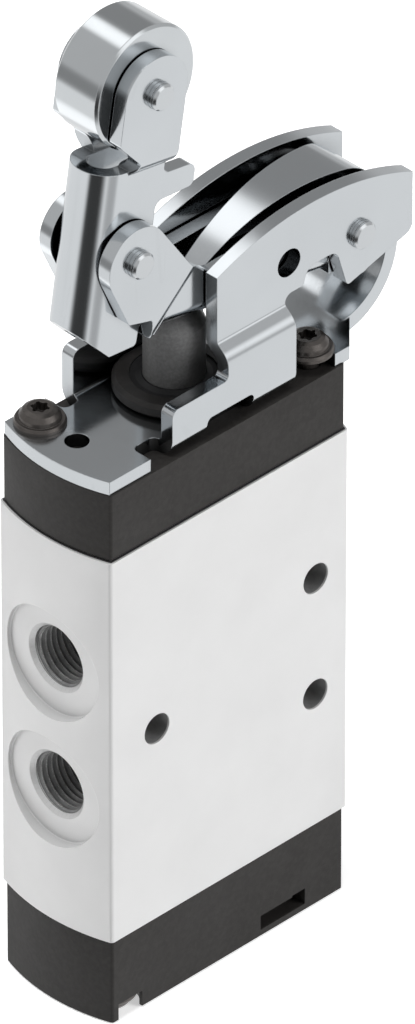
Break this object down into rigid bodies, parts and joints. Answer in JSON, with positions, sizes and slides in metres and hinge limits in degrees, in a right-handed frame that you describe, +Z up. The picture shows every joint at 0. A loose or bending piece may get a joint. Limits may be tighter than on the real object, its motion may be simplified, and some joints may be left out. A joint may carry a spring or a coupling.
{
  "type": "roller lever air valve",
  "caption": "Slim air spool valve worked by a bright sheet-metal lever whose roller bracket folds back on the return stroke.",
  "frame": {"origin": "centre of the bottom cap's underside, on the spool's axis", "axes": "+Z up the spool's axis to the roller, -X to the front with two ports and the roller, +X to the rear with three ports, +Y across the thin body"},
  "size_m": [0.058, 0.02, 0.1438],
  "materials": {
    "housing": "satin anodised, near white",
    "cap": "fine-grained black moulding",
    "sheet_metal": "polished, bright nickel plating",
    "dark_screw": "black zinc coating",
    "guide": "smooth black acetal",
    "push_rod": "dark grey, polished by wear",
    "rubber": "soft black nitrile",
    "pin_steel": "turned bright steel",
    "roller_steel": "ground and polished hardened steel",
    "spool_metal": "fine turned and hard anodised",
    "cage": "natural moulded plastic",
    "spring_steel": "drawn spring wire"
  },
  "bodies": {
    "valve": {"valve_housing": "housing", "top_cap": "cap", "bottom_cap": "cap", "top_gasket": "rubber", "bottom_gasket": "rubber", "actuator_frame": "sheet_metal", "frame_screws": "dark_screw", "bottom_screws": "dark_screw", "guide_ring": "guide", "wiper_seal": "rubber", "lever_pivot_pin": "pin_steel", "spool_seals": "rubber", "cage_spacers": "cage", "end_spacers": "cage", "return_spring": "spring_steel"},
    "push_rod": {"plunger": "push_rod", "spool": "spool_metal"},
    "lever": {"lever": "sheet_metal", "bracket_pin": "pin_steel"},
    "bracket": {"roller_bracket": "sheet_metal", "roller_pin": "pin_steel", "bracket_spring": "spring_steel"},
    "roller": {"roller": "roller_steel"}
  },
  "joints": [
    {"name": "lever_swing", "type": "hinge", "parent": "valve", "child": "lever", "pos_m": [0.0259, 0, 0.0983], "axis": [0, -1, 0], "range_deg": [0, 7], "stiffness_Nm_per_rad": 1.5, "springref_deg": -11.46},
    {"name": "push_rod_slide", "type": "slide", "parent": "valve", "child": "push_rod", "axis": [0, 0, -1], "range_m": [0, 0.0032], "deforming": ["return_spring"]},
    {"name": "bracket_tip", "type": "hinge", "parent": "lever", "child": "bracket", "pos_m": [-0.0124, 0, 0.11185], "axis": [0, 1, 0], "range_deg": [0, 50], "stiffness_Nm_per_rad": 0.03, "springref_deg": -34.38},
    {"name": "roller_spin", "type": "hinge", "parent": "bracket", "child": "roller", "pos_m": [-0.00862, 0, 0.13522], "axis": [0, 1, 0], "continuous": true}
  ],
  "couplings": [
    {"joint": "push_rod_slide", "follows": "lever_swing", "m_per_rad": 0.02502}
  ]
}
